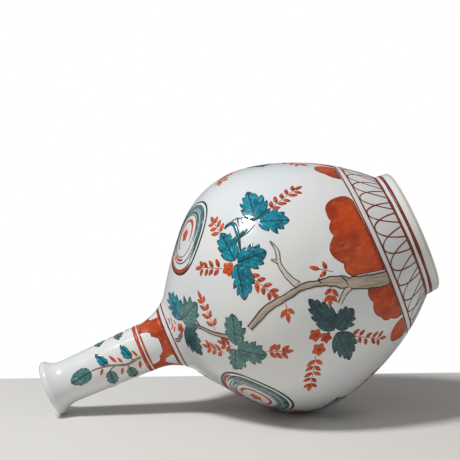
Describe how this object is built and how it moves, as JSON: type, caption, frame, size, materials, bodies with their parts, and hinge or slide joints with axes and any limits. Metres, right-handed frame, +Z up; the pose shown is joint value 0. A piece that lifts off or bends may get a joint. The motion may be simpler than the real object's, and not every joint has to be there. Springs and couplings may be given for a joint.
{
  "type": "sake bottle",
  "caption": "Long-necked porcelain sake bottle with a round belly, turned foot ring and rolled lip, painted over the glaze with branches, leaves, roundels and bands.",
  "frame": {"origin": "centre of the plane that the foot ring stands on", "axes": "+Z up the bottle's axis to the mouth; the side seen in the picture faces -Y"},
  "size_m": [0.1519, 0.1517, 0.24],
  "materials": {
    "bare_porcelain": "bisque, bare and ground flat on the standing ring",
    "luting_slip": "fired slip",
    "clear_glaze": "glossy, cool white",
    "iron_red": "satin overglaze enamel",
    "line_red": "satin overglaze line",
    "teal_enamel": "glossy raised enamel",
    "green_enamel": "glossy raised enamel",
    "dark_green_enamel": "glossy raised enamel",
    "brown_wash": "thin transparent wash",
    "black_line": "thin matt line"
  },
  "bodies": {
    "root": {"foot_ring": "bare_porcelain", "foot_slip": "luting_slip", "lower_bowl": "bare_porcelain", "belly_slip": "luting_slip", "shoulder": "bare_porcelain", "neck_slip": "luting_slip", "neck_and_lip": "bare_porcelain", "outer_glaze": "clear_glaze", "inner_glaze": "clear_glaze", "base_glaze": "clear_glaze", "foot_line": "line_red", "foot_band": "line_red", "lappet_lines": "line_red", "bowl_line_low": "line_red", "bowl_line_high": "line_red", "collar_line": "line_red", "collar_panel": "iron_red", "neck_line": "line_red", "neck_band": "iron_red", "clouds": "iron_red", "branch": "brown_wash", "twigs": "brown_wash", "teal_leaves": "teal_enamel", "green_leaves": "green_enamel", "dark_leaves": "dark_green_enamel", "blossoms": "iron_red", "sprigs": "iron_red", "roundel_black_rings": "black_line", "roundel_red_rings": "line_red", "roundel_green_rings": "green_enamel", "roundel_flowers": "iron_red", "neck_leaves": "green_enamel", "neck_teal_leaves": "teal_enamel", "neck_stems": "black_line", "neck_buds": "iron_red"}
  },
  "joints": []
}
